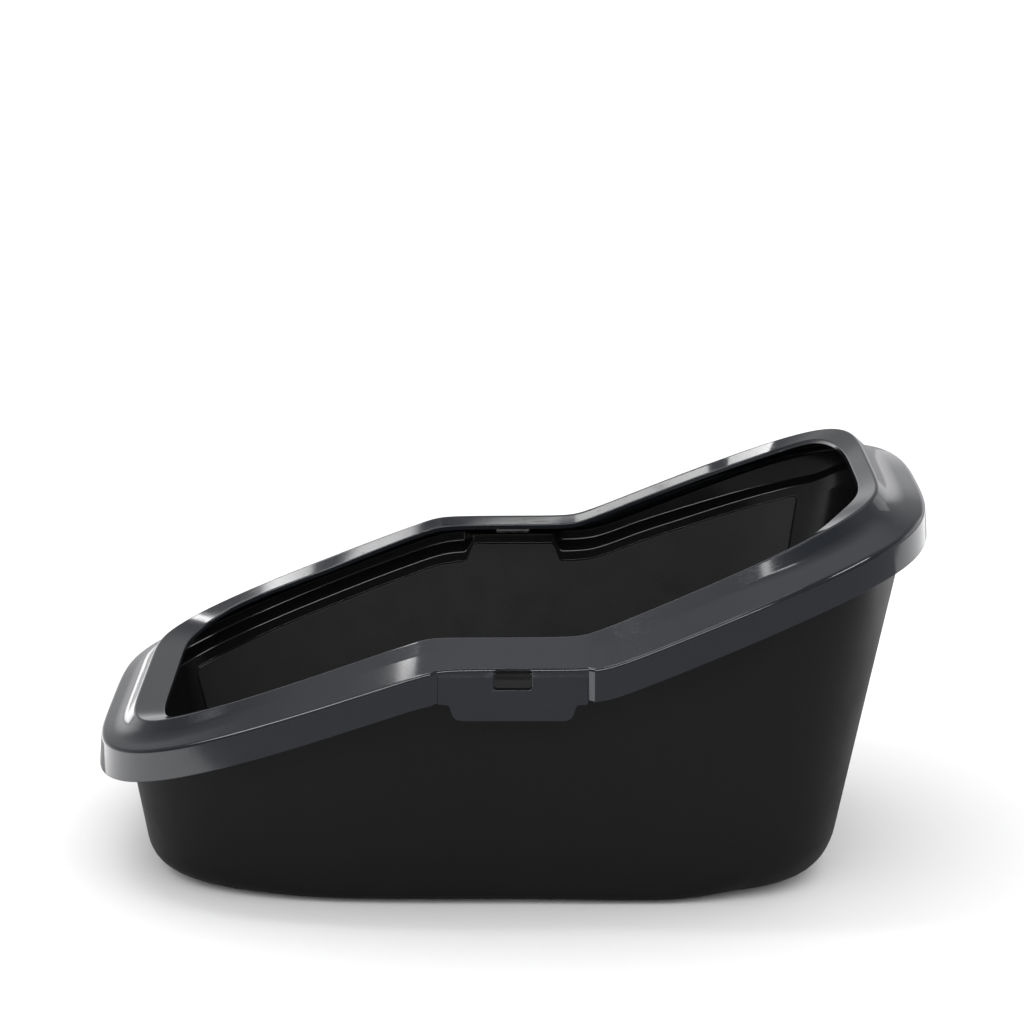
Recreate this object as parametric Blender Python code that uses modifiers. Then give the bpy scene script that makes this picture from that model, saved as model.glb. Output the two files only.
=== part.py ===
"""Open cat litter tray with a low entry, a high back and a clip-on rim. Metres, +Z up.

X runs from the low entry (-X) to the high back (+X), Y across, and the floor is Z = 0.
The rim and the tray both follow one closed plan line, the crease: the outer edge of the
rim's top. Every section is drawn at a station on that line, as an inset from it towards
the middle of the tray and a height.
"""

import math

import bmesh
import bpy
import numpy as np
from mathutils import Matrix, Vector

UPRIGHT_ALONG_X = Matrix.Rotation(math.pi / 2, 4, "X")  # drawn in X and Z, thick in Y
UPRIGHT_ALONG_Y = Matrix(((0, 0, 1, 0), (1, 0, 0, 0), (0, 1, 0, 0), (0, 0, 0, 1)))  # Y and Z, thick in X

# Plan lines: front and rear half-length, half-width, front and rear squareness,
# front and rear taper.
CREASE = (0.2735, 0.2735, 0.1896, 4.4, 3.1, 0.12, -0.10)
RIDGE = (0.2499, 0.2395, 0.1583, 6.0, 5.2, 0.11, 0.08)
OPENING = (0.2295, 0.2290, 0.1516, 7.2, 3.7, 0.175, 0.00)
BASE = (0.2443, 0.2133, 0.1495, 3.6, 4.1, 0.00, -0.05)

# Height along X: start, front slope from/to, rear slope from/to, both slopes, and the
# softness of the start, the two middle bends and the end.
CREASE_RISE = (0.0880, -0.2718, -0.0477, 0.0587, 0.2601, 0.3753, 0.4337, 0.0436, 0.0119, 0.0675)
RIDGE_RISE = (0.1111, -0.2463, -0.0531, 0.0461, 0.2387, 0.3768, 0.4214, 0.0074, 0.0084, 0.0130)

# Rim
RIM_WALL = 0.0022
SKIRT_HEIGHT = 0.0208
SKIRT_DRAFT = 0.0015
FLANK_INSET = 0.62  # share of the way to the ridge where the flat band turns up
FLANK_RISE = (0.27, 0.58, 0.27)  # share of the rise reached there: front, side, rear
LIP_DROP = (0.0008, 0.0057, 0.0062)  # front, side, rear
LIP_BAND = 0.0032
CREASE_RADIUS = 0.0030
FLANK_RADIUS = 0.0300
RIDGE_RADIUS = 0.0026
LIP_RADIUS = 0.0014

# Tray
TRAY_WALL = 0.0024
TRAY_FLOOR_Z = 0.0023
WALL_INSET = (0.0190, 0.0215, 0.0120)  # front, side, rear, of the outer face at its top
STEP_DEPTH = (0.0065, 0.0095, 0.0040)
STEP_FOOT = 0.0165  # below the crease
STEP_HEAD = 0.0115
STEP_SAG = 0.0090  # extra drop of the step at the rear corners
CLEAR_STEP_FOOT = 0.0085  # the same two beside the click tabs, where there is no step
CLEAR_STEP_HEAD = 0.0065
FLANGE_GAP = 0.0030
FLANGE_DROP = 0.0030
FLANGE_LIP = 0.0140
BASE_RADIUS = (0.0220, 0.0100, 0.0440)
PANEL_END = 0.0320  # half-length of the flat panel beside each click tab
PANEL_BLEND = 0.0040

# Click tabs, hooks and feet
TAB_CENTRE_X = 0.0010
TAB_FACE_Y = 0.1870
TAB_THICKNESS = 0.0022
TAB_HALF_WIDTH = 0.0470
TAB_TOP_Z = 0.1657
TAB_SHOULDER_Z = 0.1478
SHOULDER_FALL = 0.0004
TAB_BOTTOM_Z = 0.1371
TONGUE_HALF_TOP = 0.0400
TONGUE_HALF_BOTTOM = 0.0370
TONGUE_RADIUS = 0.0070
SHOULDER_RADIUS = 0.0028
SMALL_RADIUS = 0.0025
JOG_INNER = 0.0474
JOG_OUTER = 0.0514
HINGE_GAP = 0.0003
WINDOW_HALF_WIDTH = 0.0120
WINDOW_Z = (0.1575, 0.1705)
WINDOW_RADIUS = 0.0020
HOOK_HALF_WIDTH = 0.0108
CUT_DEPTH = 0.0064
HOOK_TIP_Y = 0.1862
HOOK_Z = (0.1640, 0.1668, 0.1690)  # underside, foot of the ramp, head of the ramp
LIP_FACE_Y = 0.1842
FOOT_RADIUS = 0.0120
FOOT_HEIGHT = 0.0020
FOOT_X = (-0.1750, 0.1530)
FOOT_Y = 0.1060

STATIONS = 41  # even stations on half the plan, before the marked ones are added

COLOURS = {
    "rim": (0.075, 0.080, 0.088),
    "tray": (0.012, 0.012, 0.013),
    "foot": (0.010, 0.010, 0.010),
}


def outline(turns, plan):
    """Points of a plan line at these angles round the middle."""
    front, rear, half_width, front_power, rear_power, front_taper, rear_taper = plan
    c, s = np.cos(turns), np.sin(turns)
    power = np.where(c < 0, front_power, rear_power)
    length = np.where(c < 0, front, rear)
    taper = np.where(c < 0, front_taper, rear_taper)
    reach = (np.abs(c) ** power + np.abs(s) ** power) ** (-1 / power)
    u, v = reach * c, reach * s
    return np.stack([length * u, half_width * v * (1 - taper * u * u)], -1)


def outside(points, plan):
    """Positive outside the plan line, negative inside it."""
    front, rear, half_width, front_power, rear_power, front_taper, rear_taper = plan
    x, y = points[:, 0], points[:, 1]
    power = np.where(x < 0, front_power, rear_power)
    u = np.abs(x) / np.where(x < 0, front, rear)
    taper = np.where(x < 0, front_taper, rear_taper)
    v = np.abs(y) / (half_width * (1 - taper * u * u))
    return u**power + v**power - 1


def inset_to(plan, starts, inward):
    """How far each start point is from a plan line that lies inside it."""
    low, high = np.zeros(len(starts)), np.full(len(starts), 0.07)
    for _ in range(30):
        middle = (low + high) / 2
        beyond = outside(starts + inward * middle[:, None], plan) > 0
        low, high = np.where(beyond, middle, low), np.where(beyond, high, middle)
    return (low + high) / 2


def inward_normals(points):
    along = np.roll(points, -1, 0) - np.roll(points, 1, 0)
    normals = np.stack([-along[:, 1], along[:, 0]], -1)
    return normals / np.linalg.norm(normals, axis=1)[:, None]


def ramp(x, softness):
    return (x + np.sqrt(x * x + softness * softness)) / 2


def rise(x, profile):
    """Height of a plan line: level, a slope, a level middle, a second slope, level."""
    start, a, b, c, d, first, second, soft_start, soft_middle, soft_end = profile
    front = ramp(x - a, soft_start) - ramp(x - b, soft_middle)
    rear = ramp(x - c, soft_middle) - ramp(x - d, soft_end)
    return start + first * front + second * rear


def ease(x):
    x = np.clip(x, 0, 1)
    return x * x * (3 - 2 * x)


def along_tray(x, values):
    """A value given for the front end, the sides and the rear end."""
    front, side, rear = values
    to_front, to_rear = ease((-x - 0.12) / 0.12), ease((x - 0.12) / 0.11)
    return side + (front - side) * to_front + (rear - side) * to_rear


def sag(x):
    """How far the step drops below its even height on the way to the rear corners."""
    down = (ramp(x - 0.093, 0.010) - ramp(x - 0.200, 0.010)) / 0.107
    return STEP_SAG * (down - ease((x - 0.222) / 0.034))


def stations():
    """Angles round the plan: even, with marked ones at the jogs and panel ends."""
    marks = []
    for edge in (JOG_INNER, JOG_OUTER, PANEL_END - PANEL_BLEND, PANEL_END + PANEL_BLEND):
        marks += [TAB_CENTRE_X - edge, TAB_CENTRE_X + edge]
    fine = np.linspace(0.05, math.pi - 0.05, 4000)
    marked = np.interp(-np.array(marks), -outline(fine, CREASE)[:, 0], fine)
    even = np.linspace(0, math.pi, STATIONS)
    kept = [a for a in even if np.abs(marked - a).min() > 0.018]
    half = np.sort(np.concatenate([kept, marked]))
    return np.concatenate([half, 2 * math.pi - half[-2:0:-1]])


class Crease:
    """The crease at every station, with what the sections are measured from."""

    def __init__(self):
        self.turns = stations()
        self.plan = outline(self.turns, CREASE)
        self.inward = inward_normals(self.plan)
        self.x = self.plan[:, 0]
        self.z = rise(self.x, CREASE_RISE)
        beside = (JOG_OUTER - np.abs(self.x - TAB_CENTRE_X)) / (JOG_OUTER - JOG_INNER)
        self.jog = np.clip(beside, 0, 1)
        ends = (PANEL_END + PANEL_BLEND - np.abs(self.x - TAB_CENTRE_X)) / (2 * PANEL_BLEND)
        self.panel = ease(ends)

    def at(self, inset, z):
        """The points at this inset and height, one per station."""
        place = self.plan + self.inward * np.broadcast_to(inset, self.x.shape)[:, None]
        return np.column_stack([place, np.broadcast_to(z, self.x.shape)])

    def inset_of_side(self, half_width):
        """The inset that puts a face at a fixed distance from the middle, beside a tab."""
        return np.abs(self.plan[:, 1]) - half_width


def rounded(corners, radii, steps):
    """The path through these (stations, 3) corners, each rounded in this many steps."""
    path = [corners[0]]
    for i in range(1, len(corners) - 1):
        back, ahead = corners[i - 1] - corners[i], corners[i + 1] - corners[i]
        reach_back = np.linalg.norm(back, axis=1)[:, None]
        reach_ahead = np.linalg.norm(ahead, axis=1)[:, None]
        back, ahead = back / reach_back, ahead / reach_ahead
        opening = np.arccos(np.clip((back * ahead).sum(1), -1, 1))[:, None]
        radius = np.broadcast_to(radii[i - 1], opening.shape[:1])[:, None]
        cut = np.minimum(radius / np.tan(opening / 2), 0.46 * np.minimum(reach_back, reach_ahead))
        for t in np.linspace(0, 1, steps[i - 1] + 1):
            weights = (1 - t) ** 2 * cut, t**2 * cut
            path.append(corners[i] + weights[0] * back + weights[1] * ahead)
    path.append(corners[-1])
    return path


def thickened(path, wall):
    """A copy of a section path, set off to its under side by the wall's thickness."""
    path = np.array(path)
    run = path[1:] - path[:-1]
    run /= np.linalg.norm(run, axis=2)[:, :, None]
    under = np.stack([run[:, :, 1], -run[:, :, 0]], -1)
    first = np.concatenate([under[:1], under])
    second = np.concatenate([under, under[-1:]])
    mitre = (first + second) / (1 + (first * second).sum(2))[:, :, None]
    return path + wall * mitre


def mesh_object(name, vertices, faces, colour, roughness):
    mesh = bpy.data.meshes.new(name)
    mesh.from_pydata([tuple(v) for v in vertices], [], faces)
    shape = bmesh.new()
    shape.from_mesh(mesh)
    bmesh.ops.recalc_face_normals(shape, faces=shape.faces)
    shape.to_mesh(mesh)
    shape.free()
    return finished(bpy.data.objects.new(name, mesh), colour, roughness)


def finished(obj, colour, roughness):
    """Gives the object its place in the model, its material and smooth shading."""
    COLLECTION.objects.link(obj)
    material = bpy.data.materials.new(obj.name)
    material.use_nodes = True
    surface = material.node_tree.nodes["Principled BSDF"]
    surface.inputs["Base Color"].default_value = (*COLOURS[colour], 1)
    surface.inputs["Roughness"].default_value = roughness
    surface.inputs["Metallic"].default_value = 0.0
    obj.data.materials.append(material)
    for face in obj.data.polygons:
        face.use_smooth = len(face.vertices) == 4
    return obj


def lofted(name, rows, closed, colour, roughness):
    """A ring of sections. An open one is closed by a flat face at each end."""
    count = len(rows[0])
    faces = []
    last = len(rows) if closed else len(rows) - 1
    for i in range(last):
        here, after = i * count, (i + 1) % len(rows) * count
        for j in range(count):
            k = (j + 1) % count
            faces.append((here + j, here + k, after + k, after + j))
    if not closed:
        faces.append(tuple(range(count)))
        faces.append(tuple(range((len(rows) - 1) * count, len(rows) * count)))
    return mesh_object(name, np.concatenate(rows), faces, colour, roughness)


def helper(obj):
    """Puts a cutter or a shape that is joined to another out of the render."""
    HELPERS.objects.link(obj)
    obj.hide_render = True
    obj.display_type = "WIRE"
    return obj


def combine(obj, other, operation):
    step = obj.modifiers.new(other.name, "BOOLEAN")
    step.operation = operation
    step.object = other
    step.solver = "EXACT"


def plate(name, points, thickness, turn):
    """A flat outline given a thickness, half to each side, then turned to face its way."""
    curve = bpy.data.curves.new(name, "CURVE")
    curve.dimensions = "2D"
    curve.fill_mode = "BOTH"
    curve.extrude = thickness / 2
    spline = curve.splines.new("POLY")
    spline.points.add(len(points) - 1)
    for place, (u, v) in zip(spline.points, points):
        place.co = (u, v, 0, 1)
    spline.use_cyclic_u = True
    flat = bpy.data.objects.new(name, curve)
    HELPERS.objects.link(flat)
    bpy.context.view_layer.update()
    mesh = bpy.data.meshes.new_from_object(flat.evaluated_get(bpy.context.evaluated_depsgraph_get()))
    bpy.data.objects.remove(flat)
    shape = bmesh.new()
    shape.from_mesh(mesh)
    bmesh.ops.remove_doubles(shape, verts=shape.verts, dist=0.00001)
    bmesh.ops.recalc_face_normals(shape, faces=shape.faces)
    shape.to_mesh(mesh)
    shape.free()
    mesh.transform(turn)
    return bpy.data.objects.new(name, mesh)


def rounded_outline(corners, radii):
    """A closed flat outline with each corner rounded."""
    path = []
    for i, (corner, radius) in enumerate(zip(corners, radii)):
        corner = Vector(corner)
        back = (Vector(corners[i - 1]) - corner).normalized()
        ahead = (Vector(corners[(i + 1) % len(corners)]) - corner).normalized()
        if radius == 0:
            path.append(corner)
            continue
        cut = radius / math.tan(back.angle(ahead) / 2)
        for t in np.linspace(0, 1, 4 if radius > SMALL_RADIUS else 3):
            path.append(corner + back * cut * (1 - t) ** 2 + ahead * cut * t**2)
    return [(p.x, p.y) for p in path]


def window_cutter(name, side):
    low, high = WINDOW_Z
    left, right = TAB_CENTRE_X - WINDOW_HALF_WIDTH, TAB_CENTRE_X + WINDOW_HALF_WIDTH
    corners = [(left, low), (right, low), (right, high), (left, high)]
    points = rounded_outline(corners, [WINDOW_RADIUS] * 4)
    cutter = helper(plate(name, points, CUT_DEPTH, UPRIGHT_ALONG_X))
    cutter.location.y = side * TAB_FACE_Y
    return cutter


def tab_slot_cutter(name, side):
    """The gap in the skirt that a click tab hangs in."""
    left, right = TAB_CENTRE_X - JOG_INNER, TAB_CENTRE_X + JOG_INNER
    top = TAB_TOP_Z + HINGE_GAP
    bottom = TAB_BOTTOM_Z - SKIRT_HEIGHT
    corners = [(left, bottom), (right, bottom), (right, top), (left, top)]
    cutter = helper(plate(name, corners, CUT_DEPTH, UPRIGHT_ALONG_X))
    cutter.location.y = side * TAB_FACE_Y
    return cutter


def build_rim(crease):
    ridge_inset = inset_to(RIDGE, crease.plan, crease.inward)
    opening_inset = inset_to(OPENING, crease.plan, crease.inward)
    ridge_z = rise((crease.x + crease.inward[:, 0] * ridge_inset), RIDGE_RISE)
    height = ridge_z - crease.z
    edge = crease.jog * crease.inset_of_side(TAB_FACE_Y)
    foot = (1 - crease.jog) * -SKIRT_DRAFT + edge
    drop = along_tray(crease.x, LIP_DROP)
    corners = [
        (foot, crease.z - SKIRT_HEIGHT),
        (edge, crease.z),
        (FLANK_INSET * ridge_inset, crease.z + along_tray(crease.x, FLANK_RISE) * height),
        (ridge_inset, ridge_z),
        (opening_inset - 0.0003, ridge_z - drop),
        (opening_inset, ridge_z - drop - LIP_BAND),
    ]
    top = [np.stack(np.broadcast_arrays(*corner), -1) for corner in corners]
    under = thickened(top, RIM_WALL)
    radii = [CREASE_RADIUS, FLANK_RADIUS, RIDGE_RADIUS, LIP_RADIUS]
    under_radii = [0.0012, FLANK_RADIUS + RIM_WALL, 0.0006, 0.0004]
    sections = [
        *rounded([crease.at(p[:, 0], p[:, 1]) for p in top], radii, (2, 3, 2, 1)),
        *rounded([crease.at(p[:, 0], p[:, 1]) for p in under], under_radii, (1, 3, 1, 1))[::-1],
    ]
    rim = lofted("rim", sections, True, "rim", 0.28)
    for name, side in (("left", -1), ("right", 1)):
        combine(rim, tab_slot_cutter(f"tab_slot_{name}", side), "DIFFERENCE")
        combine(rim, window_cutter(f"rim_window_{name}", side), "DIFFERENCE")


def build_tray(crease):
    x, z = crease.x, crease.z
    base = outline(crease.turns, BASE)
    outer = along_tray(x, WALL_INSET)
    step = (1 - crease.panel) * along_tray(x, STEP_DEPTH)
    foot_z = z - sag(x) - STEP_FOOT + crease.panel * (STEP_FOOT - CLEAR_STEP_FOOT)
    head_z = z - sag(x) - STEP_HEAD + crease.panel * (STEP_HEAD - CLEAR_STEP_HEAD)
    lip = FLANGE_GAP + crease.jog * (crease.inset_of_side(LIP_FACE_Y) - FLANGE_GAP)
    flange_z = z - FLANGE_DROP
    under_z = flange_z - TRAY_WALL
    lip_z = z - FLANGE_LIP

    def base_at(inset, height):
        lean = crease.at(outer, height)[:, :2] - base
        lean /= np.linalg.norm(lean, axis=1)[:, None]
        return np.column_stack([base - lean * inset, np.full(len(x), height)])

    def on_wall(inset, height, out=0.0):
        """On the straight wall, which may run on past its top, this far outside it."""
        low, high = base_at(inset, TRAY_FLOOR_Z), crease.at(outer + inset, z - STEP_FOOT)
        place = low + (high - low) * ((height - low[:, 2]) / (high - low)[:, 2])[:, None]
        place[:, :2] -= crease.inward * np.reshape(out, (-1, 1))
        return place

    radius = along_tray(x, BASE_RADIUS)
    inner_floor_z = TRAY_FLOOR_Z + TRAY_WALL
    outside_path = [
        base_at(0.062, TRAY_FLOOR_Z),
        base_at(0.0, TRAY_FLOOR_Z),
        on_wall(0.0, foot_z),
        on_wall(0.0, head_z, step),
        on_wall(0.0, under_z, step),
        crease.at(lip + TRAY_WALL, under_z),
        crease.at(lip + TRAY_WALL, lip_z),
    ]
    inside_path = [
        crease.at(lip, lip_z),
        crease.at(lip, flange_z),
        on_wall(TRAY_WALL, flange_z, step),
        on_wall(TRAY_WALL, head_z + 0.0010, step),
        on_wall(TRAY_WALL, foot_z + 0.0010),
        on_wall(TRAY_WALL, inner_floor_z),
        base_at(0.062, inner_floor_z),
    ]
    outside_radii = [radius, 0.0015, 0.0015, 0.0010, 0.0006]
    inside_radii = [0.0012, 0.0010, 0.0030, 0.0020, radius - TRAY_WALL]
    rows = [
        *rounded(outside_path, outside_radii, (4, 1, 1, 1, 1)),
        *rounded(inside_path, inside_radii, (1, 1, 2, 2, 3)),
    ]
    tray = lofted("tray", rows, False, "tray", 0.42)
    for name, side in (("left", -1), ("right", 1)):
        combine(tray, hook(f"hook_{name}", side), "UNION")


def hook(name, side):
    """The catch on the tray that a click tab's window closes over."""
    under, foot, head = HOOK_Z
    root = LIP_FACE_Y - 0.0010
    corners = [(root, under), (HOOK_TIP_Y, under), (HOOK_TIP_Y, foot), (LIP_FACE_Y, head), (root, head)]
    corners = [(side * y, z) for y, z in corners]
    wedge = helper(plate(name, corners, 2 * HOOK_HALF_WIDTH, UPRIGHT_ALONG_Y))
    wedge.location.x = TAB_CENTRE_X
    return wedge


def build_tab(name, side):
    """A click tab, with its origin on its hinge line."""
    axis_y = TAB_FACE_Y - TAB_THICKNESS / 2
    right = [
        (TAB_HALF_WIDTH, 0.0),
        (TAB_HALF_WIDTH, TAB_SHOULDER_Z - TAB_TOP_Z),
        (TONGUE_HALF_TOP, TAB_SHOULDER_Z - SHOULDER_FALL - TAB_TOP_Z),
        (TONGUE_HALF_BOTTOM, TAB_BOTTOM_Z - TAB_TOP_Z),
    ]
    left = [(-u, v) for u, v in reversed(right)]
    radii = [0.0, 0.0012, SHOULDER_RADIUS, TONGUE_RADIUS]
    points = rounded_outline(right + left, radii + radii[::-1])
    tab = plate(name, points, TAB_THICKNESS, UPRIGHT_ALONG_X)
    tab.location = (TAB_CENTRE_X, side * axis_y, TAB_TOP_Z)
    finished(tab, "rim", 0.28)
    combine(tab, window_cutter(f"window_{name}", side), "DIFFERENCE")


def build_foot(name, x, y):
    bpy.ops.mesh.primitive_cylinder_add(
        vertices=24, radius=FOOT_RADIUS, depth=FOOT_HEIGHT, location=(x, y, FOOT_HEIGHT / 2)
    )
    foot = bpy.context.object
    foot.name = name
    for holder in list(foot.users_collection):
        holder.objects.unlink(foot)
    finished(foot, "foot", 0.7)
    bevel = foot.modifiers.new("edge", "BEVEL")
    bevel.width = 0.0005
    bevel.segments = 2
    bevel.limit_method = "ANGLE"


for old in list(bpy.data.objects):
    bpy.data.objects.remove(old)
COLLECTION = bpy.data.collections.new("litter_tray")
HELPERS = bpy.data.collections.new("cutters")
for holder in (COLLECTION, HELPERS):
    bpy.context.scene.collection.children.link(holder)
HELPERS.hide_render = True

line = Crease()
build_tray(line)
build_rim(line)
build_tab("click_tab_left", -1)
build_tab("click_tab_right", 1)
for end, foot_x in zip(("front", "rear"), FOOT_X):
    build_foot(f"foot_{end}_left", foot_x, -FOOT_Y)
    build_foot(f"foot_{end}_right", foot_x, FOOT_Y)
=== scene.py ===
"""Looks of the open litter tray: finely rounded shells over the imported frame, and their plastics.

X runs from the low entry (-X) to the high back (+X) and the floor is Z = 0. The rim and the
tray follow one closed plan line, the crease: the outer edge of the rim's top. Every section
is drawn at a station on that line, as an inset towards the middle and a height.
"""

import math

import bmesh
import bpy
import numpy as np
from mathutils import Matrix, Vector


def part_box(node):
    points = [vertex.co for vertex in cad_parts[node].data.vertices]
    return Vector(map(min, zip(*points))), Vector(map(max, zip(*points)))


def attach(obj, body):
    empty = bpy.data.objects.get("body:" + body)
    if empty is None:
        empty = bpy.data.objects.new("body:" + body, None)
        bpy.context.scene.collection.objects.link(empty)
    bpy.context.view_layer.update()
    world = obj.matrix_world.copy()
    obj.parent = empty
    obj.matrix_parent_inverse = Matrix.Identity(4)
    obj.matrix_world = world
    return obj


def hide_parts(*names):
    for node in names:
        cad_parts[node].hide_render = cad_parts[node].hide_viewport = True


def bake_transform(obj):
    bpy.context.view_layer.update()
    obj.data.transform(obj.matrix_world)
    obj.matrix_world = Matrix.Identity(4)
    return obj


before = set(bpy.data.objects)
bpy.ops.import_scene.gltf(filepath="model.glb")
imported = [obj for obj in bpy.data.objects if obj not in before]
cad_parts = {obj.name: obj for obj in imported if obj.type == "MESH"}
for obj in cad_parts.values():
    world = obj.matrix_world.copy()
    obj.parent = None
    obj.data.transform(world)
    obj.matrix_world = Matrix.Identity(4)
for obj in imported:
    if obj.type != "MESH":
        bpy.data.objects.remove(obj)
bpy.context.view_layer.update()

# Plan lines: front and rear half-length, half-width, front and rear squareness,
# front and rear taper.
CREASE = (0.2735, 0.2735, 0.1896, 4.4, 3.1, 0.12, -0.10)
RIDGE = (0.2499, 0.2395, 0.1583, 6.0, 5.2, 0.11, 0.08)
OPENING = (0.2295, 0.2290, 0.1516, 7.2, 3.7, 0.175, 0.00)
BASE = (0.2443, 0.2133, 0.1495, 3.6, 4.1, 0.00, -0.05)

# Height along X: start, front slope from/to, rear slope from/to, both slopes, and the
# softness of the start, the two middle bends and the end.
CREASE_RISE = (0.0880, -0.2718, -0.0477, 0.0587, 0.2601, 0.3753, 0.4337, 0.0436, 0.0119, 0.0675)
RIDGE_RISE = (0.1111, -0.2463, -0.0531, 0.0461, 0.2387, 0.3768, 0.4214, 0.0074, 0.0084, 0.0130)

# A value that differs at the ends starts to change this far from the middle, and has
# changed after these lengths.
ENDS_START = 0.12
FRONT_BLEND = 0.12
REAR_BLEND = 0.11

# Rim
RIM_WALL = 0.0022
SKIRT_HEIGHT = 0.0208
SKIRT_DRAFT = 0.0015
FLANK_INSET = 0.62  # share of the way to the ridge where the flat band turns up
FLANK_RISE = (0.27, 0.58, 0.27)  # share of the rise reached there: front, side, rear
LIP_DROP = (0.0008, 0.0057, 0.0062)  # front, side, rear
LIP_BAND = 0.0032
LIP_DRAFT = 0.0003
SKIRT_EDGE = 0.0008
CREASE_RADIUS = (0.0032, 0.0030, 0.0046)
FLANK_RADIUS = 0.0300
RIDGE_RADIUS = 0.0026
LIP_RADIUS = 0.0014
UNDER_RADII = (0.0012, FLANK_RADIUS + RIM_WALL, 0.0006, 0.0004)  # crease, flank, ridge, lip

# Tray
TRAY_WALL = 0.0024
TRAY_FLOOR_Z = 0.0023
WALL_INSET = (0.0190, 0.0215, 0.0120)  # front, side, rear, of the outer face at its top
STEP_DEPTH = (0.0065, 0.0095, 0.0040)
STEP_FOOT = 0.0165  # below the crease
STEP_HEAD = 0.0115
INNER_STEP_LIFT = 0.0010  # of the step's inner face over its outer one
STEP_SAG = 0.0090  # extra drop of the step at the rear corners
SAG_FALL_X = (0.093, 0.200)
SAG_RECOVERY_X = (0.222, 0.256)
SAG_SOFTNESS = 0.010
CLEAR_STEP_FOOT = 0.0085  # the same two beside the click tabs, where there is no step
CLEAR_STEP_HEAD = 0.0065
FLANGE_GAP = 0.0030
FLANGE_DROP = 0.0030
FLANGE_LIP = 0.0140
BASE_RADIUS = (0.0220, 0.0100, 0.0440)
PANEL_END = 0.0320  # half-length of the flat panel beside each click tab
PANEL_BLEND = 0.0040
FIELD_TOP = 0.0225  # below the crease, of the grained field on each inner side
FIELD_RELIEF = 0.0009
FIELD_BEVEL = 0.0010
FIELD_GAP = 0.0012  # below the ledge beside the click tabs, and across the field's ends
FIELD_ENDS = (-0.2445, 0.2165)
FIELD_CORNER = 0.0040

# Click tabs, hooks and feet
TAB_CENTRE_X = 0.0010
TAB_FACE_Y = 0.1870
TAB_THICKNESS = 0.0022
TAB_SHOULDER_Z = 0.1478
SHOULDER_FALL = 0.0004
TAB_BOTTOM_Z = 0.1371
TONGUE_HALF_TOP = 0.0400
TONGUE_HALF_BOTTOM = 0.0370
TONGUE_RADIUS = 0.0070
SHOULDER_RADIUS = 0.0028
JOG_INNER = 0.0474
JOG_OUTER = 0.0514
JOG_SOFTNESS = 0.06
WINDOW_HALF_WIDTH = 0.0120
WINDOW_Z = (0.1575, 0.1705)
WINDOW_RADIUS = 0.0020
HOOK_HALF_WIDTH = 0.0108
HOOK_TIP_Y = 0.1862
HOOK_Z = (0.1640, 0.1668, 0.1690)  # underside, foot of the ramp, head of the ramp
HOOK_ROOT = 0.0010  # how far the hook runs into the tray's flange
LIP_FACE_Y = 0.1842

# Fine edges
SLOT_TOP_Z = 0.1660
SLOT_HALF_WIDTH = JOG_INNER - 0.0002
SLOT_DEPTH = 0.0060  # to each side of the tab's face
SLOT_SLACK = 0.0001  # between a tab's side and the skirt beside it
TAB_SINK = 0.00005  # the tab's face lies this far behind the skirt's
EDGE_ROUND = 0.0004
WINDOW_LIP = 0.0006
WINDOW_CUT = (-0.0032, 0.0060)  # how far the cut reaches behind and before the face
BEND_HEIGHT = 0.0055  # of the part of a click tab that bends
WINDOW_MARGIN = 0.0015  # from a window to the edges that keep the face beside it flat
EDGE_MARGIN = 0.0012

# Meshes
STATIONS = 440
FINE_STEP = 0.0003  # between stations along X, at the jogs and the field's ends
PANEL_STEP = 0.0006
CLEAR_OF_MARKS = 0.004  # least angle from an even station to a close one
NORMAL_REACH = 0.004  # angle either side that a normal is taken over
MOST_INSET = 0.07
MOST_CUT = 0.46  # share of a side that the rounding of one corner may use
FLOOR_PATCH_INSET = 0.062  # where the rows of the tray's floor end and a flat face takes over
PAD_SIDES = 64

# Light
FLOOR_MIRRORED = (0.34, 0.34, 0.35)
WORLD_WHITE = 1.46
ROOM_FRONT = (0.22, 0.225, 0.23)
# Sine of the height above the horizon, and the brightness there.
BACKDROP = ((0.0, 1.0), (0.12, 0.98), (0.24, 0.42), (0.60, 0.38), (0.95, 1.0))
FLOOR_HALF = 9.0

# Camera
CAMERA_PLACE = (0.0005, -2.135, 0.758)
CAMERA_DIP = 14.0  # degrees below level
LENS_MM = 114.5
SENSOR_MM = 36.0

SIDES = (("left", -1), ("right", 1))


def outline(turns, plan):
    """Points of a plan line at these angles round the middle."""
    front, rear, half_width, front_power, rear_power, front_taper, rear_taper = plan
    c, s = np.cos(turns), np.sin(turns)
    power = np.where(c < 0, front_power, rear_power)
    length = np.where(c < 0, front, rear)
    taper = np.where(c < 0, front_taper, rear_taper)
    reach = (np.abs(c) ** power + np.abs(s) ** power) ** (-1 / power)
    u, v = reach * c, reach * s
    return np.stack([length * u, half_width * v * (1 - taper * u * u)], -1)


def outside(points, plan):
    """Positive outside the plan line, negative inside it."""
    front, rear, half_width, front_power, rear_power, front_taper, rear_taper = plan
    x, y = points[:, 0], points[:, 1]
    power = np.where(x < 0, front_power, rear_power)
    u = np.abs(x) / np.where(x < 0, front, rear)
    taper = np.where(x < 0, front_taper, rear_taper)
    v = np.abs(y) / (half_width * (1 - taper * u * u))
    return u**power + v**power - 1


def inset_to(plan, starts, inward):
    """How far each start point is from a plan line that lies inside it."""
    low, high = np.zeros(len(starts)), np.full(len(starts), MOST_INSET)
    for _ in range(40):
        middle = (low + high) / 2
        beyond = outside(starts + inward * middle[:, None], plan) > 0
        low, high = np.where(beyond, middle, low), np.where(beyond, high, middle)
    return (low + high) / 2


def inward_normals(turns):
    """Taken over a short even reach, so that they don't depend on the stations."""
    along = outline(turns + NORMAL_REACH, CREASE) - outline(turns - NORMAL_REACH, CREASE)
    normals = np.stack([-along[:, 1], along[:, 0]], -1)
    return normals / np.linalg.norm(normals, axis=1)[:, None]


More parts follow.
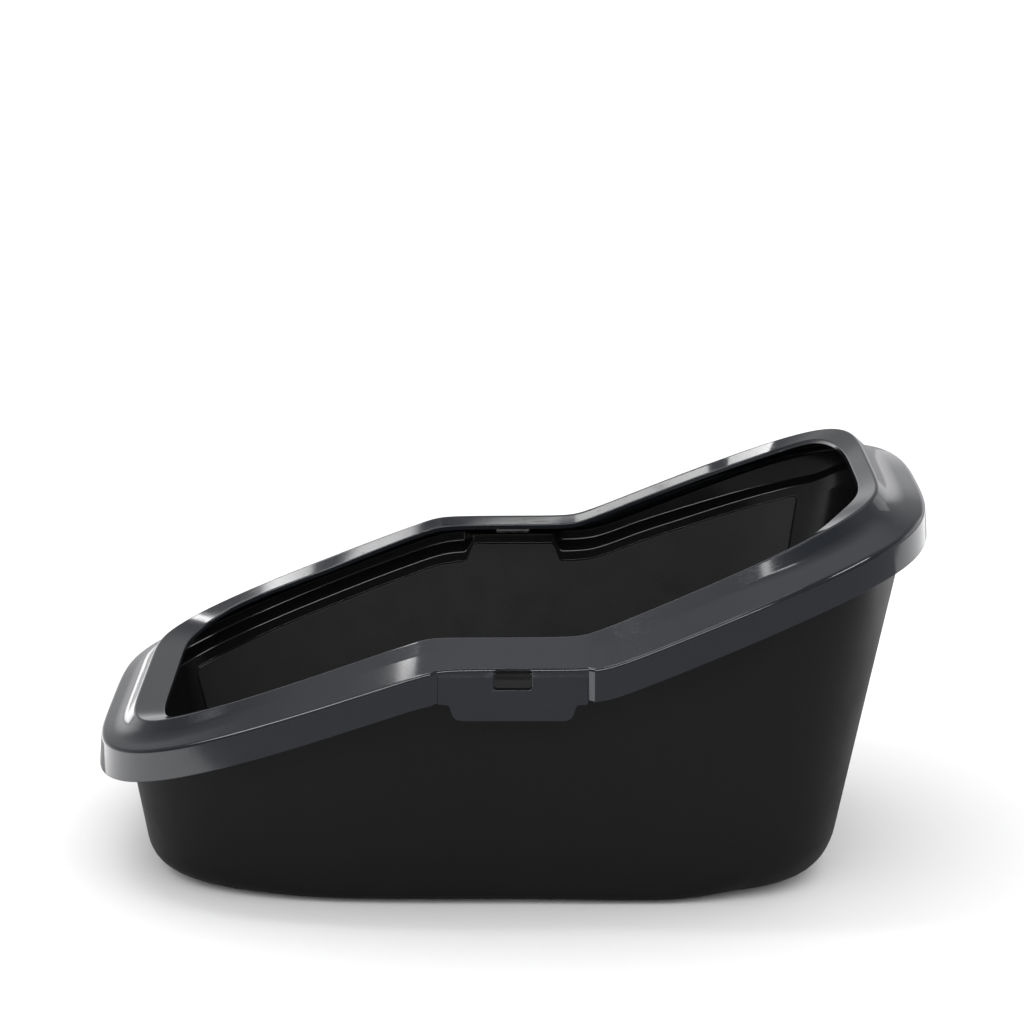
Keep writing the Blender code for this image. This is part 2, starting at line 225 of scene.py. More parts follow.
def ramp(x, softness):
    """Zero for negative x and x for positive x, with a soft corner between."""
    return (x + np.sqrt(x * x + softness * softness)) / 2


def rise(x, profile):
    """Height of a plan line: level, a slope, a level middle, a second slope, level."""
    start, a, b, c, d, first, second, soft_start, soft_middle, soft_end = profile
    front = ramp(x - a, soft_start) - ramp(x - b, soft_middle)
    rear = ramp(x - c, soft_middle) - ramp(x - d, soft_end)
    return start + first * front + second * rear


def ease(x):
    """Grows from 0 to 1 as x does, level at both ends."""
    x = np.clip(x, 0, 1)
    return x * x * (3 - 2 * x)


def along_tray(x, values):
    """A value given for the front end, the sides and the rear end."""
    front, side, rear = values
    to_front, to_rear = ease((-x - ENDS_START) / FRONT_BLEND), ease((x - ENDS_START) / REAR_BLEND)
    return side + (front - side) * to_front + (rear - side) * to_rear


def sag(x):
    """How far the step drops below its even height on the way to the rear corners."""
    begins, ends = SAG_FALL_X
    down = (ramp(x - begins, SAG_SOFTNESS) - ramp(x - ends, SAG_SOFTNESS)) / (ends - begins)
    turns_back, level = SAG_RECOVERY_X
    return STEP_SAG * (down - ease((x - turns_back) / (level - turns_back)))


def stations():
    """Angles round the plan: even, with close ones at the jogs, panel ends and field ends."""
    jog = np.arange(JOG_INNER - 0.0008, JOG_OUTER + 0.0010, FINE_STEP)
    panel = np.arange(PANEL_END - PANEL_BLEND, PANEL_END + PANEL_BLEND + 0.0001, PANEL_STEP)
    marks = [TAB_CENTRE_X + side * edge for side in (-1, 1) for edge in (*jog, *panel)]
    front, rear = FIELD_ENDS
    marks += list(np.arange(rear - FIELD_CORNER, rear + 0.0015, FINE_STEP))
    marks += list(np.arange(front - 0.0015, front + FIELD_CORNER, FINE_STEP))
    # X falls all the way from the rear to the front, so each mark has one angle.
    fine = np.linspace(0.02, math.pi - 0.02, 8000)
    marked = np.interp(-np.array(marks), -outline(fine, CREASE)[:, 0], fine)
    even = np.linspace(0, math.pi, STATIONS // 2)
    kept = [a for a in even if np.abs(marked - a).min() > CLEAR_OF_MARKS]
    half = np.sort(np.concatenate([kept, marked]))
    return np.concatenate([half, 2 * math.pi - half[-2:0:-1]])


class Crease:
    """The crease at every station, with what the sections are measured from."""

    def __init__(self):
        self.turns = stations()
        self.plan = outline(self.turns, CREASE)
        self.inward = inward_normals(self.turns)
        self.x = self.plan[:, 0]
        self.z = rise(self.x, CREASE_RISE)
        off = np.abs(self.x - TAB_CENTRE_X)
        t = (JOG_OUTER - off) / (JOG_OUTER - JOG_INNER)
        self.jog = ramp(t, JOG_SOFTNESS) - ramp(t - 1, JOG_SOFTNESS)
        self.panel = ease((PANEL_END + PANEL_BLEND - off) / (2 * PANEL_BLEND))

    def at(self, inset, z):
        """The points at this inset and height, one per station."""
        place = self.plan + self.inward * np.broadcast_to(inset, self.x.shape)[:, None]
        return np.column_stack([place, np.broadcast_to(z, self.x.shape)])

    def inset_of_side(self, half_width):
        """The inset that puts a face at a fixed distance from the middle, beside a tab."""
        return np.abs(self.plan[:, 1]) - half_width


def rounded(corners, radii, steps):
    """The path through these (stations, 3) corners, each rounded in this many steps."""
    path = [corners[0]]
    for i in range(1, len(corners) - 1):
        back, ahead = corners[i - 1] - corners[i], corners[i + 1] - corners[i]
        reach_back = np.linalg.norm(back, axis=1)[:, None]
        reach_ahead = np.linalg.norm(ahead, axis=1)[:, None]
        back, ahead = back / reach_back, ahead / reach_ahead
        opening = np.arccos(np.clip((back * ahead).sum(1), -1, 1))[:, None]
        radius = np.broadcast_to(radii[i - 1], opening.shape[:1])[:, None]
        most = MOST_CUT * np.minimum(reach_back, reach_ahead)
        cut = np.minimum(radius / np.tan(opening / 2), most)
        for t in np.linspace(0, 1, steps[i - 1] + 1):
            weights = (1 - t) ** 2 * cut, t**2 * cut
            path.append(corners[i] + weights[0] * back + weights[1] * ahead)
    path.append(corners[-1])
    return path


def thickened(path, wall):
    """A copy of a section path, set off to its under side by the wall's thickness."""
    path = np.array(path)
    run = path[1:] - path[:-1]
    run /= np.linalg.norm(run, axis=2)[:, :, None]
    under = np.stack([run[:, :, 1], -run[:, :, 0]], -1)
    first = np.concatenate([under[:1], under])
    second = np.concatenate([under, under[-1:]])
    mitre = (first + second) / (1 + (first * second).sum(2))[:, :, None]
    return path + wall * mitre


def mesh_object(name, vertices, faces):
    mesh = bpy.data.meshes.new(name)
    mesh.from_pydata([tuple(v) for v in vertices], [], faces)
    shape = bmesh.new()
    shape.from_mesh(mesh)
    bmesh.ops.recalc_face_normals(shape, faces=shape.faces)
    flat_ends = [face for face in shape.faces if len(face.verts) > 4]
    bmesh.ops.triangulate(shape, faces=flat_ends)
    shape.to_mesh(mesh)
    shape.free()
    obj = bpy.data.objects.new(name, mesh)
    bpy.context.scene.collection.objects.link(obj)
    return obj


def lofted(name, rows, closed):
    """A ring of sections. An open one is closed by a flat face at each end."""
    count = len(rows[0])
    faces = []
    last = len(rows) if closed else len(rows) - 1
    for i in range(last):
        here, after = i * count, (i + 1) % len(rows) * count
        for j in range(count):
            k = (j + 1) % count
            faces.append((here + j, here + k, after + k, after + j))
    if not closed:
        faces.append(tuple(range(count)))
        faces.append(tuple(range((len(rows) - 1) * count, len(rows) * count)))
    return mesh_object(name, np.concatenate(rows), faces)


def combined(obj, others, operation):
    """Joins or cuts, keeps the result as the object's own mesh, and drops the others."""
    for other in others:
        step = obj.modifiers.new(other.name, "BOOLEAN")
        step.operation = operation
        step.object = other
        step.solver = "MANIFOLD"
    bpy.context.view_layer.update()
    result = bpy.data.meshes.new_from_object(obj.evaluated_get(bpy.context.evaluated_depsgraph_get()))
    obj.modifiers.clear()
    obj.data = result
    for other in others:
        bpy.data.objects.remove(other)


def smooth(obj, degrees):
    """Smooth shading, broken at edges sharper than this."""
    obj.data.shade_smooth()
    obj.data.set_sharp_from_angle(angle=math.radians(degrees))
    level = obj.modifiers.new("level", "WEIGHTED_NORMAL")
    level.keep_sharp = True


def coat(obj, material):
    """Gives every face of the object this one material."""
    obj.data.materials.clear()
    obj.data.materials.append(material)
    obj.data.polygons.foreach_set("material_index", np.zeros(len(obj.data.polygons), np.int32))


def rounded_box_ring(half_width, low, high, radius, grow, y):
    """A window outline grown all round by this much, at this distance from the middle."""
    ring = []
    corners = ((1, 1, 0), (-1, 1, 90), (-1, -1, 180), (1, -1, 270))
    for to_x, to_z, start in corners:
        centre_x = TAB_CENTRE_X + to_x * (half_width - radius)
        centre_z = (high - radius) if to_z > 0 else (low + radius)
        for turn in np.radians(np.linspace(start, start + 90, 7)):
            reach = radius + grow
            ring.append((centre_x + reach * math.cos(turn), y, centre_z + reach * math.sin(turn)))
    return np.array(ring)


def window_cutter(side, face_y):
    """Cuts a window whose edge rolls over into the face."""
    rows = [(0.0, WINDOW_CUT[0])]
    for turn in np.radians(np.linspace(0, 90, 6)):
        rows.append((WINDOW_LIP * (1 - math.cos(turn)), WINDOW_LIP * (math.sin(turn) - 1)))
    rows.append((WINDOW_LIP, WINDOW_CUT[1]))
    low, high = WINDOW_Z
    rings = [
        rounded_box_ring(WINDOW_HALF_WIDTH, low, high, WINDOW_RADIUS, grow, side * (face_y + depth))
        for grow, depth in rows
    ]
    return lofted("window", rings, False)


def box_cutter(low, high):
    x, y, z = zip(low, high)
    corners = [(a, b, c) for c in z for b in y for a in x]
    faces = [(0, 1, 3, 2), (4, 6, 7, 5), (0, 4, 5, 1), (2, 3, 7, 6), (0, 2, 6, 4), (1, 5, 7, 3)]
    return mesh_object("cutter", corners, faces)


def slot_cutter(side):
    """The gap in the skirt that a click tab hangs in."""
    near, far = sorted((side * (TAB_FACE_Y - SLOT_DEPTH), side * (TAB_FACE_Y + SLOT_DEPTH)))
    low = (TAB_CENTRE_X - SLOT_HALF_WIDTH, near, TAB_BOTTOM_Z - SKIRT_HEIGHT)
    high = (TAB_CENTRE_X + SLOT_HALF_WIDTH, far, SLOT_TOP_Z)
    return box_cutter(low, high)


def build_rim(crease):
    ridge_inset = inset_to(RIDGE, crease.plan, crease.inward)
    opening_inset = inset_to(OPENING, crease.plan, crease.inward)
    ridge_z = rise(crease.x + crease.inward[:, 0] * ridge_inset, RIDGE_RISE)
    height = ridge_z - crease.z
    edge = crease.jog * crease.inset_of_side(TAB_FACE_Y)
    foot = (1 - crease.jog) * -SKIRT_DRAFT + edge
    drop = along_tray(crease.x, LIP_DROP)
    corners = [
        (foot, crease.z - SKIRT_HEIGHT),
        (edge, crease.z),
        (FLANK_INSET * ridge_inset, crease.z + along_tray(crease.x, FLANK_RISE) * height),
        (ridge_inset, ridge_z),
        (opening_inset - LIP_DRAFT, ridge_z - drop),
        (opening_inset, ridge_z - drop - LIP_BAND),
    ]
    top = [np.stack(np.broadcast_arrays(*corner), -1) for corner in corners]
    under = list(thickened(top, RIM_WALL))
    top = [(top[0] + under[0]) / 2, *top, (top[-1] + under[-1]) / 2]
    crease_radius = along_tray(crease.x, CREASE_RADIUS)
    radii = [SKIRT_EDGE, crease_radius, FLANK_RADIUS, RIDGE_RADIUS, LIP_RADIUS, SKIRT_EDGE]
    top_path = [crease.at(p[:, 0], p[:, 1]) for p in top]
    under_path = [crease.at(p[:, 0], p[:, 1]) for p in under]
    sections = [
        *rounded(top_path, radii, (4, 9, 10, 8, 6, 4)),
        *rounded(under_path, UNDER_RADII, (2, 4, 2, 2))[::-1],
    ]
    rim = lofted("rim_shell", sections, True)
    cutters = [slot_cutter(side) for _, side in SIDES]
    cutters += [window_cutter(side, TAB_FACE_Y) for _, side in SIDES]
    combined(rim, cutters, "DIFFERENCE")
    smooth(rim, 35)
    return rim


def field_edge(crease):
    """Share of the grained field's relief at each station, and how far its corner falls."""
    front, rear = FIELD_ENDS
    beyond = np.maximum(front + FIELD_CORNER - crease.x, crease.x - rear + FIELD_CORNER)
    across = np.clip(beyond / FIELD_CORNER, 0, 1)
    fall = FIELD_CORNER * (1 - np.sqrt(1 - across**2))
    past = np.maximum(front - crease.x, crease.x - rear)
    return ease(0.5 - past / FIELD_GAP), fall


def build_tray(crease):
    x, z = crease.x, crease.z
    base = outline(crease.turns, BASE)
    outer = along_tray(x, WALL_INSET)
    step = (1 - crease.panel) * along_tray(x, STEP_DEPTH)
    foot_z = z - sag(x) - STEP_FOOT + crease.panel * (STEP_FOOT - CLEAR_STEP_FOOT)
    head_z = z - sag(x) - STEP_HEAD + crease.panel * (STEP_HEAD - CLEAR_STEP_HEAD)
    lip = FLANGE_GAP + crease.jog * (crease.inset_of_side(LIP_FACE_Y) - FLANGE_GAP)
    flange_z = z - FLANGE_DROP
    under_z = flange_z - TRAY_WALL
    lip_z = z - FLANGE_LIP
    share, fall = field_edge(crease)
    relief = share * FIELD_RELIEF
    panel_rise = FIELD_TOP - CLEAR_STEP_FOOT - FIELD_GAP
    field_z = z - sag(x) - FIELD_TOP + crease.panel * panel_rise - fall

    def base_at(inset, height):
        lean = crease.at(outer, height)[:, :2] - base
        lean /= np.linalg.norm(lean, axis=1)[:, None]
        return np.column_stack([base - lean * np.reshape(inset, (-1, 1)), np.full(len(x), height)])

    def on_wall(inset, height, out=0.0):
        """On the straight wall, which may run on past its top, this far outside it."""
        low, high = base_at(inset, TRAY_FLOOR_Z), crease.at(outer + inset, z - STEP_FOOT)
        place = low + (high - low) * ((height - low[:, 2]) / (high - low)[:, 2])[:, None]
        place[:, :2] -= crease.inward * np.reshape(out, (-1, 1))
        return place

    radius = along_tray(x, BASE_RADIUS)
    inner_floor_z = TRAY_FLOOR_Z + TRAY_WALL
    outside_path = [
        base_at(FLOOR_PATCH_INSET, TRAY_FLOOR_Z),
        base_at(0.0, TRAY_FLOOR_Z),
        on_wall(0.0, foot_z),
        on_wall(0.0, head_z, step),
        on_wall(0.0, under_z, step),
        crease.at(lip + TRAY_WALL, under_z),
        crease.at(lip + TRAY_WALL, lip_z),
    ]
    inside_path = [
        crease.at(lip, lip_z),
        crease.at(lip, flange_z),
        on_wall(TRAY_WALL, flange_z, step),
        on_wall(TRAY_WALL, head_z + INNER_STEP_LIFT, step),
        on_wall(TRAY_WALL, foot_z + INNER_STEP_LIFT),
        on_wall(TRAY_WALL, field_z),
        on_wall(TRAY_WALL + relief, field_z - FIELD_BEVEL),
        on_wall(TRAY_WALL + relief, inner_floor_z),
        base_at(FLOOR_PATCH_INSET, inner_floor_z),
    ]
    # One radius and one number of steps for each corner between a path's ends.
    outside_radii = [radius, 0.0015, 0.0015, 0.0010, 0.0006]
    inside_radii = [0.0012, 0.0012, 0.0030, 0.0022, 0.0004, 0.0006, radius - TRAY_WALL]
    outside_steps = (14, 3, 3, 2, 2)
    inside_steps = (4, 5, 5, 5, 2, 4, 12)
    rows = [
        *rounded(outside_path, outside_radii, outside_steps),
        *rounded(inside_path, inside_radii, inside_steps),
    ]
    tray = lofted("tray_shell", rows, False)
    # The finish of each face: 0 satin outside, 1 polished above the field, 2 grained.
    outside_rows = 2 + sum(n + 1 for n in outside_steps)
    ledge_row = outside_rows + 1 + sum(n + 1 for n in inside_steps[:5])
    count = len(x)
    in_field = np.abs(share - 1) < 0.5
    finish = np.zeros((len(rows) - 1, count), int)
    finish[outside_rows - 1 :] = 1
    finish[ledge_row + 2 :, in_field] = 2
    finish[ledge_row + inside_steps[5] + 12 :] = 2
    for material in (outer_plastic(), inner_plastic(), grained_plastic()):
        tray.data.materials.append(material)
    walls = finish.size
    floor_middle_z = (TRAY_FLOOR_Z + inner_floor_z) / 2
    for face in tray.data.polygons:
        if face.index < walls:
            face.material_index = int(finish.flat[face.index])
        elif face.center.z > floor_middle_z:
            face.material_index = 2
    combined(tray, [hook(side) for _, side in SIDES], "UNION")
    smooth(tray, 40)
    return tray


def drawn_in(points, inset):
    """A flat outline moved inwards by this much, corner by corner."""
    run = np.roll(points, -1, 0) - points
    run /= np.linalg.norm(run, axis=1)[:, None]
    normals = np.stack([-run[:, 1], run[:, 0]], -1)
    before = np.roll(normals, 1, 0)
    mitre = (before + normals) / (1 + (before * normals).sum(1))[:, None]
    return points + inset * mitre


def plate(name, points, thickness, edge, turn):
    """A flat outline given a thickness and rolled edges, then turned to face its way."""
    points = np.array(points)
    area = np.cross(points, np.roll(points, -1, 0)).sum()
    points = points if area > 0 else points[::-1]
    quarter = np.linspace(0, math.pi / 2, 5)
    roll = [(edge * (1 - math.sin(t)), edge * (1 - math.cos(t))) for t in quarter]
    rows = [(inset, depth - thickness / 2) for inset, depth in roll]
    rows += [(inset, -depth) for inset, depth in reversed(rows)]
    rings = []
    for inset, depth in rows:
        flat = drawn_in(points, inset)
        rings.append(np.column_stack([flat, np.full(len(flat), depth)]))
    obj = lofted(name, rings, False)
    obj.data.transform(turn)
    return obj


def rounded_outline(corners, radii):
    """A closed flat outline with each corner rounded."""
    path = []
    for i, (corner, radius) in enumerate(zip(corners, radii)):
        corner = Vector(corner)
        back = (Vector(corners[i - 1]) - corner).normalized()
        ahead = (Vector(corners[(i + 1) % len(corners)]) - corner).normalized()
        cut = radius / math.tan(back.angle(ahead) / 2)
        for t in np.linspace(0, 1, 9 if radius > 0.0010 else 4):
            path.append(corner + back * cut * (1 - t) ** 2 + ahead * cut * t**2)
    return [(p.x, p.y) for p in path]


def hook(side):
    """The catch on the tray that a click tab's window closes over."""
    under, foot, head = HOOK_Z
    root = LIP_FACE_Y - HOOK_ROOT
    corners = [(root, under), (HOOK_TIP_Y, under), (HOOK_TIP_Y, foot), (LIP_FACE_Y, head), (root, head)]
    radii = [0.0002, 0.0003, 0.0004, 0.0004, 0.0002]
    points = [(side * y, z) for y, z in rounded_outline(corners, radii)]
    upright = Matrix(((0, 0, 1, TAB_CENTRE_X), (1, 0, 0, 0), (0, 1, 0, 0), (0, 0, 0, 1)))
    catch = plate("hook", points, 2 * HOOK_HALF_WIDTH, 0.0002, upright)
    coat(catch, outer_plastic())
    return catch


def build_tab(name, body, side):
    """A click tab. Its head runs up behind the skirt, and below that its mesh is cut closely where the
    tab bends.
    """
    half = SLOT_HALF_WIDTH - SLOT_SLACK
    right = [
        (half, SLOT_TOP_Z + 0.0010),
        (half, TAB_SHOULDER_Z),
        (TONGUE_HALF_TOP, TAB_SHOULDER_Z - SHOULDER_FALL),
        (TONGUE_HALF_BOTTOM, TAB_BOTTOM_Z),
    ]
    left = [(-u, v) for u, v in reversed(right)]
    radii = [0.0005, 0.0012, SHOULDER_RADIUS, TONGUE_RADIUS]
    points = rounded_outline(right + left, radii + radii[::-1])
    axis_y = side * (TAB_FACE_Y - TAB_SINK - TAB_THICKNESS / 2)
    upright = Matrix.Translation((TAB_CENTRE_X, axis_y, 0)) @ Matrix.Rotation(math.pi / 2, 4, "X")
    tab = plate(name, points, TAB_THICKNESS, EDGE_ROUND, upright)
    combined(tab, [window_cutter(side, TAB_FACE_Y - TAB_SINK)], "DIFFERENCE")
    shape = bmesh.new()
    shape.from_mesh(tab.data)
    bend_top, bend_foot = SLOT_TOP_Z, SLOT_TOP_Z - BEND_HEIGHT
    heights = [*np.linspace(bend_foot, bend_top, 12)]
    heights += [WINDOW_Z[0] - WINDOW_MARGIN, TAB_BOTTOM_Z + EDGE_MARGIN]
    cuts = [((0, 0, height), (0, 0, 1)) for height in heights]
    beside_window = WINDOW_HALF_WIDTH + WINDOW_MARGIN
    for reach in (beside_window, TONGUE_HALF_BOTTOM - EDGE_MARGIN, half - EDGE_MARGIN):
        cuts += [((TAB_CENTRE_X + to * reach, 0, 0), (1, 0, 0)) for to in (-1, 1)]
    for place, across in cuts:
        parts = [*shape.verts, *shape.edges, *shape.faces]
        bmesh.ops.bisect_plane(shape, geom=parts, plane_co=place, plane_no=across)
    shape.to_mesh(tab.data)
    shape.free()
    smooth(tab, 35)
    coat(tab, rim_plastic())
    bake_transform(tab)
    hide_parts(body)


def build_foot(node):
    """A pad with a rolled edge and a ring pressed into its sole."""
    low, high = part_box(node)
    centre_x, centre_y = (low.x + high.x) / 2, (low.y + high.y) / 2
    radius, top = (high.x - low.x) / 2, TRAY_FLOOR_Z + 0.0001
    profile = [
        (0.0030, 0.0003),
        (0.0034, 0.0),
        (0.0058, 0.0),
        (0.0062, 0.0004),
        (0.0072, 0.0004),
        (0.0076, 0.0),
        (radius - 0.0009, 0.0),
        (radius - 0.0003, 0.0003),
        (radius, 0.0009),
        (radius - 0.0001, 0.0015),
        (radius - 0.0006, top),
        (0.0040, top),
    ]
    turns = np.linspace(0, 2 * math.pi, PAD_SIDES, endpoint=False)
    rows = []
    for r, z in profile:
        x, y = centre_x + r * np.cos(turns), centre_y + r * np.sin(turns)
        rows.append(np.column_stack([x, y, np.full(PAD_SIDES, z)]))
    foot = lofted(node + "_pad", rows, False)
    smooth(foot, 40)
    coat(foot, rubber())
    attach(foot, "tray")
    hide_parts(node)


def colours_of(sockets):
    return [socket for socket in sockets if socket.type == "RGBA"]


class Finish:
    """A node material under way, with short ways to add its nodes."""

    def __init__(self, name):
        self.material = bpy.data.materials.new(name)
        self.material.use_nodes = True
        self.nodes = self.material.node_tree.nodes
        self.links = self.material.node_tree.links
        self.surface = self.nodes["Principled BSDF"]
        self.place = self.nodes.new("ShaderNodeTexCoord").outputs["Object"]

    def noise(self, scale, detail=2.0, stretch=(1, 1, 1)):
        place = self.nodes.new("ShaderNodeMapping")
        place.inputs["Scale"].default_value = stretch
        node = self.nodes.new("ShaderNodeTexNoise")
        node.inputs["Scale"].default_value = scale
        node.inputs["Detail"].default_value = detail
        self.links.new(self.place, place.inputs["Vector"])
        self.links.new(place.outputs["Vector"], node.inputs["Vector"])
        return node.outputs["Fac"]

    def spread(self, value, low, high, to_low, to_high):
        """Maps a range of a value to another, and holds it there."""
        node = self.nodes.new("ShaderNodeMapRange")
        for socket, number in zip(node.inputs[1:5], (low, high, to_low, to_high)):
            socket.default_value = number
        self.links.new(value, node.inputs["Value"])
        return node.outputs["Result"]

    def math(self, operation, a, b):
        node = self.nodes.new("ShaderNodeMath")
        node.operation = operation
        for socket, value in zip(node.inputs, (a, b)):
            if isinstance(value, (int, float)):
                socket.default_value = value
            else:
                self.links.new(value, socket)
        return node.outputs["Value"]

    def mix(self, factor, a, b):
        node = self.nodes.new("ShaderNodeMix")
        node.data_type = "RGBA"
        for socket, colour in zip(colours_of(node.inputs), (a, b)):
            if isinstance(colour, tuple):
                socket.default_value = (*colour, 1)
            else:
                self.links.new(colour, socket)
        self.links.new(factor, node.inputs["Factor"])
        return colours_of(node.outputs)[0]

    def bump(self, height, strength, distance, under=None):
        node = self.nodes.new("ShaderNodeBump")
        node.inputs["Strength"].default_value = strength
        node.inputs["Distance"].default_value = distance
        self.links.new(height, node.inputs["Height"])
        if under is not None:
            self.links.new(under, node.inputs["Normal"])
        return node.outputs["Normal"]

    def edges(self, start, full):
        """Grows from 0 to 1 on convex edges, where a painted highlight is laid on the plastic."""
        geometry = self.nodes.new("ShaderNodeNewGeometry")
        return self.spread(geometry.outputs["Pointiness"], start, full, 0.0, 1.0)

    def set(self, **values):
        for name, value in values.items():
            socket = self.surface.inputs[name.replace("_", " ")]
            if isinstance(value, bpy.types.NodeSocket):
                self.links.new(value, socket)
            else:
                socket.default_value = value
        return self.material


def once(make):
    """Makes a material the first time it is asked for, and hands out the same one after."""
    made = []

    def get():
        if not made:
            made.append(make())
        return made[0]

    return get


@once
def rim_plastic():
    finish = Finish("rim_gloss")
    cloud = finish.noise(9, 3)
    # Painted highlight: a lighter grey laid along convex edges, broken up by noise.
    edge_highlight = finish.math("MULTIPLY", finish.edges(0.52, 0.60), finish.noise(240, 2))
    tone = finish.mix(cloud, (0.0082, 0.0098, 0.0128), (0.0104, 0.0120, 0.0152))
    colour = finish.mix(edge_highlight, tone, (0.040, 0.044, 0.050))
    hairlines = finish.noise(900, 1, (0.05, 1, 1))
    scuffs = finish.spread(hairlines, 0.60, 0.72, 0.0, 0.06)
    rough = finish.math("ADD", finish.spread(cloud, 0.3, 0.7, 0.08, 0.12), scuffs)
    waves = finish.bump(finish.noise(55, 1), 0.25, 0.00012)
    skin = finish.bump(finish.noise(1500, 2), 0.12, 0.00002, waves)
    return finish.set(Base_Color=colour, Roughness=rough, Normal=skin, IOR=1.5)


@once
def outer_plastic():
    finish = Finish("tray_satin")
    cloud = finish.noise(7, 3)
    colour = finish.mix(cloud, (0.0030, 0.0030, 0.0032), (0.0046, 0.0046, 0.0048))
    rough = finish.spread(finish.noise(30, 3), 0.3, 0.7, 0.36, 0.46)
    skin = finish.bump(finish.noise(2200, 3), 0.35, 0.00006)
    finish.surface.inputs["Specular IOR Level"].default_value = 0.26
    return finish.set(Base_Color=colour, Roughness=rough, Normal=skin, IOR=1.5)


@once
def inner_plastic():
    finish = Finish("tray_polished")
    cloud = finish.noise(12, 3)
    colour = finish.mix(cloud, (0.0052, 0.0052, 0.0055), (0.0072, 0.0072, 0.0076))
    rough = finish.spread(finish.noise(45, 2), 0.3, 0.7, 0.12, 0.18)
    waves = finish.bump(finish.noise(70, 1), 0.25, 0.00010)
    skin = finish.bump(finish.noise(1800, 2), 0.10, 0.00002, waves)
    return finish.set(Base_Color=colour, Roughness=rough, Normal=skin, IOR=1.5)


@once
def grained_plastic():
    finish = Finish("tray_grained")
    cloud = finish.noise(16, 4)
    colour = finish.mix(cloud, (0.0078, 0.0078, 0.0080), (0.0135, 0.0135, 0.0138))
    rough = finish.spread(finish.noise(60, 3), 0.3, 0.7, 0.48, 0.60)
    pits = finish.bump(finish.noise(1300, 3), 0.60, 0.00016)
    finish.surface.inputs["Specular IOR Level"].default_value = 0.36
    return finish.set(Base_Color=colour, Roughness=rough, Normal=pits, IOR=1.5)


@once
def rubber():
    finish = Finish("foot_rubber")
    dust = finish.noise(320, 4)
    colour = finish.mix(dust, (0.008, 0.008, 0.008), (0.020, 0.020, 0.019))
    rough = finish.spread(dust, 0.3, 0.7, 0.68, 0.85)
    skin = finish.bump(finish.noise(1600, 4), 0.5, 0.0001)
    return finish.set(Base_Color=colour, Roughness=rough, Normal=skin)


def build_floor():
    """A white floor, which mirrors in the plastic as a dimmer one."""
    half = FLOOR_HALF
    corners = [(-half, -half, 0), (half, -half, 0), (half, half, 0), (-half, half, 0)]
    floor = mesh_object("floor", corners, [(0, 1, 2, 3)])
    finish = Finish("floor_white")
    tone = finish.mix(finish.noise(3, 4), (0.86, 0.86, 0.865), (0.88, 0.88, 0.88))
    path = finish.nodes.new("ShaderNodeLightPath")
    colour = finish.mix(path.outputs["Is Glossy Ray"], tone, FLOOR_MIRRORED)
    finish.set(Base_Color=colour, Roughness=0.6)
    finish.surface.inputs["Specular IOR Level"].default_value = 0.1
    coat(floor, finish.material)


def softbox(name, place, target, size, radiance):
    """A rectangular light that the camera doesn't see."""
    light = bpy.data.lights.new(name, "AREA")
    light.shape = "RECTANGLE"
    light.size, light.size_y = size
    light.energy = radiance * math.pi * size[0] * size[1]
    lamp = bpy.data.objects.new(name, light)
    bpy.context.scene.collection.objects.link(lamp)
    lamp.location = place
    aim = Vector(target) - Vector(place)
    lamp.rotation_euler = aim.to_track_quat("-Z", "Y").to_euler()
    lamp.visible_camera = False
    return lamp


def world_shade(nodes, links):
    """The room as the plastic mirrors it: bright low down at the back, dim elsewhere."""
    place = nodes.new("ShaderNodeTexCoord").outputs["Generated"]
    parts = nodes.new("ShaderNodeSeparateXYZ")
    links.new(place, parts.inputs[0])
    height = nodes.new("ShaderNodeValToRGB")
    stops = height.color_ramp.elements
    for position, tone in BACKDROP[1:-1]:
        stops.new(position)
    for stop, (position, tone) in zip(stops, BACKDROP):
        stop.position = position
        stop.color = (tone, tone, tone * 1.02, 1)
    links.new(parts.outputs["Z"], height.inputs[0])
    behind = nodes.new("ShaderNodeMapRange")
    behind.inputs["From Min"].default_value = -0.2
    behind.inputs["From Max"].default_value = 0.4
    links.new(parts.outputs["Y"], behind.inputs["Value"])
    shade = nodes.new("ShaderNodeMix")
    shade.data_type = "RGBA"
    front, back = colours_of(shade.inputs)
    front.default_value = (*ROOM_FRONT, 1)
    links.new(height.outputs["Color"], back)
    links.new(behind.outputs["Result"], shade.inputs["Factor"])
    return colours_of(shade.outputs)[0]


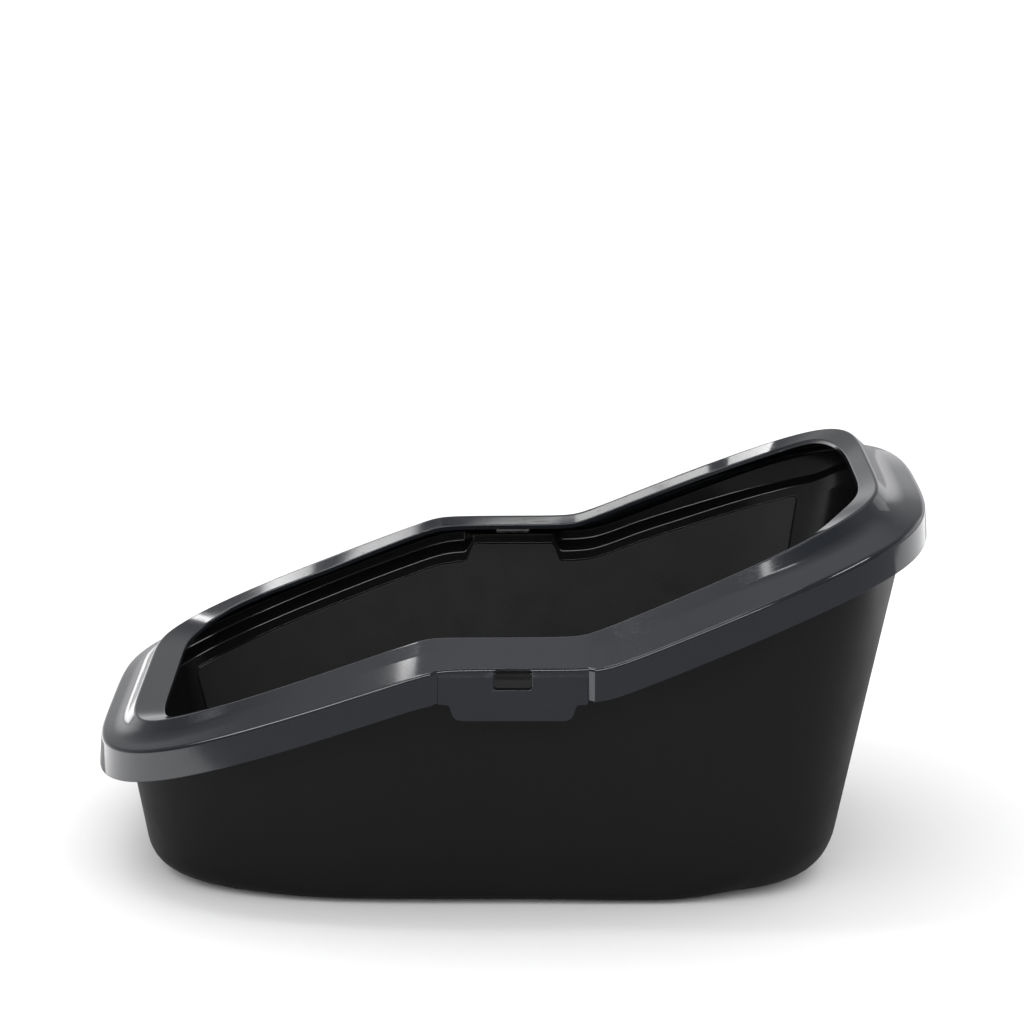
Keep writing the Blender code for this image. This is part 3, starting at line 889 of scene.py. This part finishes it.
def build_light():
    """White surroundings for the floor, a dim room in the reflections, and softboxes."""
    world = bpy.data.worlds.new("studio")
    bpy.context.scene.world = world
    world.use_nodes = True
    nodes, links = world.node_tree.nodes, world.node_tree.links
    path = nodes.new("ShaderNodeLightPath")
    room = nodes["Background"]
    links.new(world_shade(nodes, links), room.inputs["Color"])
    white = nodes.new("ShaderNodeBackground")
    white.inputs["Color"].default_value = (WORLD_WHITE, WORLD_WHITE, WORLD_WHITE, 1)
    choose = nodes.new("ShaderNodeMixShader")
    links.new(path.outputs["Is Glossy Ray"], choose.inputs[0])
    links.new(white.outputs[0], choose.inputs[1])
    links.new(room.outputs[0], choose.inputs[2])
    links.new(choose.outputs[0], nodes["World Output"].inputs["Surface"])
    softbox("over", (-0.77, -0.11, 2.20), (-0.77, -0.11, 0.15), (0.70, 0.24), 11.0)
    reflected = (
        softbox("over_middle", (-0.19, -0.14, 2.20), (-0.19, -0.14, 0.15), (0.42, 0.09), 9.0),
        softbox("over_left", (-1.06, 0.35, 2.20), (-1.06, 0.35, 0.15), (0.24, 0.62), 11.0),
        softbox("over_back", (-1.115, 1.95, 2.20), (-1.115, 1.95, 0.15), (0.17, 1.70), 10.0),
        softbox("front", (-0.45, -2.25, 1.65), (0, 0, 0.15), (1.9, 0.40), 12.0),
        softbox("left_box", (-1.32, -0.70, 1.38), (0, 0, 0.12), (1.4, 0.45), 8.0),
        softbox("right_box", (1.23, -0.86, 1.50), (0, 0, 0.12), (0.8, 0.4), 10.0),
        softbox("right_back", (1.9, 1.3, 0.75), (0.2, 0, 0.2), (1.4, 0.9), 0.5),
        softbox("left_card", (-1.0, 0.55, 0.012), (-1.0, 0.55, 1.0), (1.2, 2.1), 1.9),
        softbox("right_card", (1.0, 0.75, 0.012), (1.0, 0.75, 1.0), (0.9, 1.2), 1.2),
    )
    for lamp in reflected:
        lamp.visible_diffuse = False


def build_camera():
    camera = bpy.data.cameras.new("camera")
    camera.lens = LENS_MM
    camera.sensor_width = SENSOR_MM
    camera.clip_start, camera.clip_end = 0.1, 40
    holder = bpy.data.objects.new("camera", camera)
    bpy.context.scene.collection.objects.link(holder)
    holder.location = CAMERA_PLACE
    holder.rotation_euler = (math.radians(90 - CAMERA_DIP), 0, 0)
    bpy.context.scene.camera = holder


line = Crease()
tray = build_tray(line)
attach(tray, "tray")
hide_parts("tray")

rim = build_rim(line)
coat(rim, rim_plastic())
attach(rim, "rim")
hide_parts("rim")

for which, side in SIDES:
    build_tab(f"tab_{which}", f"click_tab_{which}", side)
for node in sorted(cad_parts):
    if node.startswith("foot"):
        build_foot(node)

build_floor()
build_light()
build_camera()
bpy.context.scene.view_settings.view_transform = "Standard"
